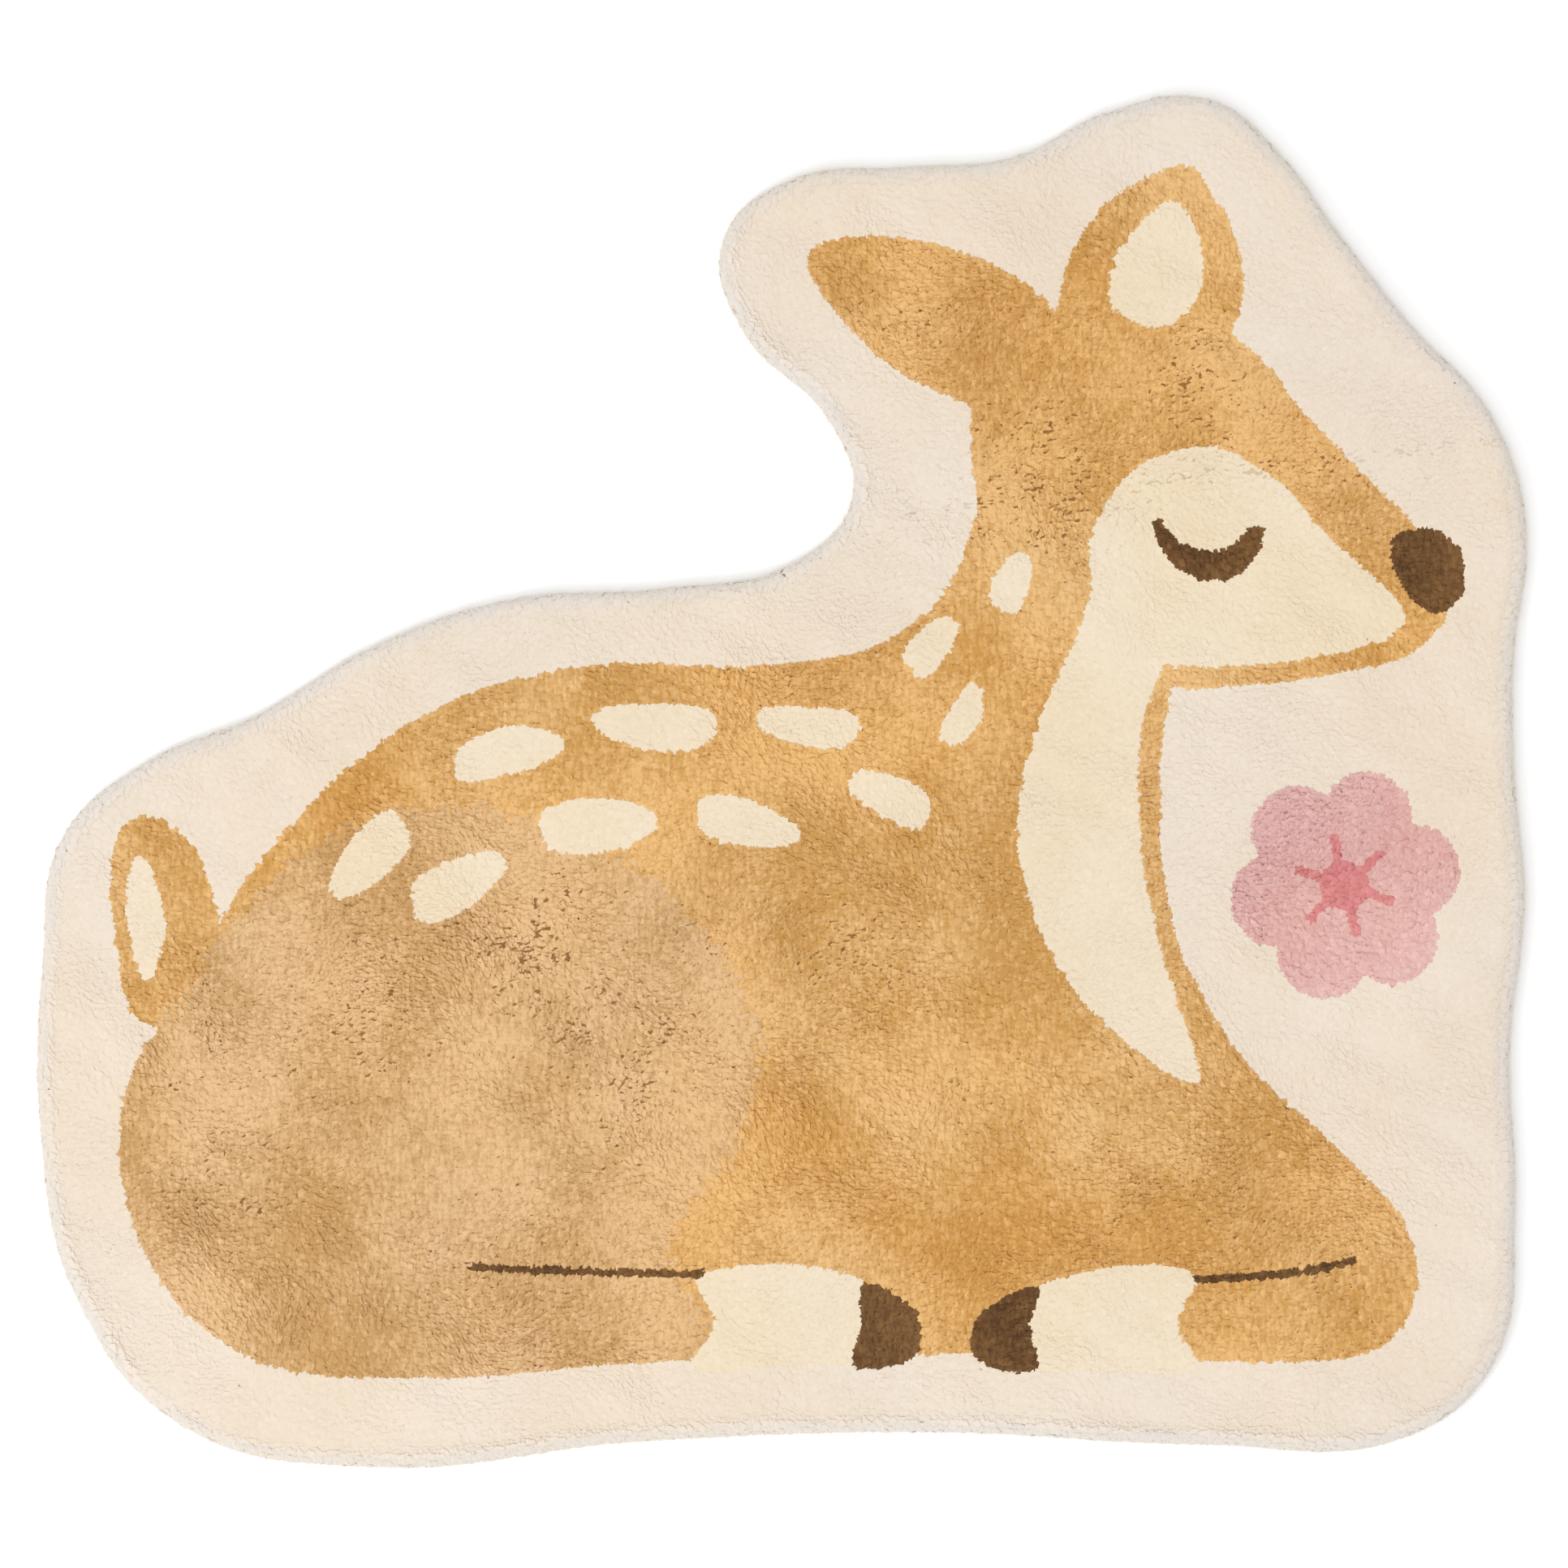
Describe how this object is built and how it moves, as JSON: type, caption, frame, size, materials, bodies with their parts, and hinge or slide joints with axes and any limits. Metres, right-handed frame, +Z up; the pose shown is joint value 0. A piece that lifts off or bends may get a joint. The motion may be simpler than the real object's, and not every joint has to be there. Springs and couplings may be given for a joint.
{
  "type": "animal shaped kids rug",
  "caption": "Flat tufted children's rug in the outline of a resting fawn, with cut pile in cream, golden tan, brown and pink.",
  "frame": {"origin": "middle of the rug's bounding box, on the floor under its backing", "axes": "+Z up out of the pile, +X along the rug's length towards the fawn's chest and nose, +Y towards its ears"},
  "size_m": [1.1988, 1.1046, 0.016],
  "materials": {
    "pile_golden": "golden tan cotton yarn, tufted and cut to a soft matt pile",
    "pile_beige": "beige tan cotton yarn, tufted and cut to a soft matt pile",
    "pile_cream": "cream cotton yarn, tufted and cut to a soft matt pile",
    "pile_brown": "dark brown cotton yarn, tufted and cut to a soft matt pile",
    "pile_pink": "pink cotton yarn in two depths, tufted and cut to a soft matt pile",
    "backing": "natural cotton canvas, plain woven"
  },
  "bodies": {
    "root": {"rug": "pile_golden"}
  },
  "joints": []
}
